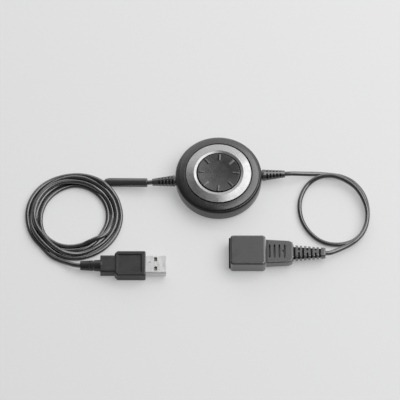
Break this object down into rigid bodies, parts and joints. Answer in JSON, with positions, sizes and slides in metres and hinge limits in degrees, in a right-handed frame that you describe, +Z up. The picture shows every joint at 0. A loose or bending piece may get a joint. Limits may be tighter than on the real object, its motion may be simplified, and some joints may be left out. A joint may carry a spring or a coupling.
{
  "type": "usb headset adapter",
  "caption": "Corded adapter: a round tilting call control, a coiled cord to a USB plug and a looped cord to a headset quick-disconnect socket.",
  "frame": {"origin": "middle of the round control's underside, on the desk", "axes": "+X from the USB side to the headset side, along both plugs; +Y away from the user; +Z up"},
  "size_m": [0.1999, 0.0891, 0.0125],
  "materials": {
    "soft_rubber": "matt, slightly grainy",
    "housing_plastic": "fine spark texture",
    "disc_plastic": "fine satin",
    "silver_coating": "satin silver coating",
    "board_laminate": "green solder mask",
    "chip_resin": "moulded resin",
    "plated_steel": "plated",
    "nylon": "smooth nylon",
    "cord_jacket": "soft satin jacket",
    "cord_moulding": "soft matt overmould",
    "plug_moulding": "matt overmould",
    "plug_steel": "nickel-plated sheet",
    "contact_gold": "gold-plated",
    "connector_plastic": "fine matt texture",
    "insert_plastic": "smooth"
  },
  "bodies": {
    "housing": {"rubber_foot": "soft_rubber", "lower_housing": "housing_plastic", "upper_housing": "housing_plastic", "trim_ring": "silver_coating", "circuit_board": "board_laminate", "codec_chip": "chip_resin", "crystal_can": "plated_steel", "usb_header": "nylon", "headset_header": "nylon", "usb_inner_lead": "cord_jacket", "headset_inner_lead": "cord_jacket", "usb_relief": "cord_moulding", "headset_relief": "cord_moulding", "cable_sleeve": "cord_moulding", "usb_cord_lead": "cord_jacket", "usb_cord_coil": "cord_jacket", "usb_cord_tail": "cord_jacket", "headset_cord": "cord_jacket", "usb_plug_body": "plug_moulding", "usb_plug_shell": "plug_steel", "usb_plug_tongue": "nylon", "qd_housing": "connector_plastic", "qd_grip": "connector_plastic", "qd_insert": "insert_plastic", "screw_0": "plated_steel", "screw_1": "plated_steel", "screw_2": "plated_steel", "switch_centre": "plated_steel", "switch_0": "plated_steel", "usb_contact_0": "contact_gold", "qd_pin_0": "contact_gold", "switch_1": "plated_steel", "usb_contact_1": "contact_gold", "qd_pin_1": "contact_gold", "switch_2": "plated_steel", "usb_contact_2": "contact_gold", "qd_pin_2": "contact_gold", "switch_3": "plated_steel", "usb_contact_3": "contact_gold", "qd_pin_3": "contact_gold"},
    "hub": {"key_hub": "disc_plastic"},
    "flexure": {"flexure_ring": "disc_plastic"},
    "disc": {"control_disc": "disc_plastic"}
  },
  "joints": [
    {"name": "press", "type": "slide", "parent": "housing", "child": "hub", "axis": [0, 0, -1], "range_m": [0, 0.0006], "stiffness_N_per_m": 100, "springref_m": -0.002},
    {"name": "tilt_front_back", "type": "hinge", "parent": "hub", "child": "flexure", "pos_m": [0, 0, 0.0096], "axis": [0.9975, 0.0706, 0], "range_deg": [-2, 2], "stiffness_Nm_per_rad": 0.004},
    {"name": "tilt_left_right", "type": "hinge", "parent": "flexure", "child": "disc", "pos_m": [0, 0, 0.0096], "axis": [-0.0706, 0.9975, 0], "range_deg": [-2, 2], "stiffness_Nm_per_rad": 0.004}
  ]
}
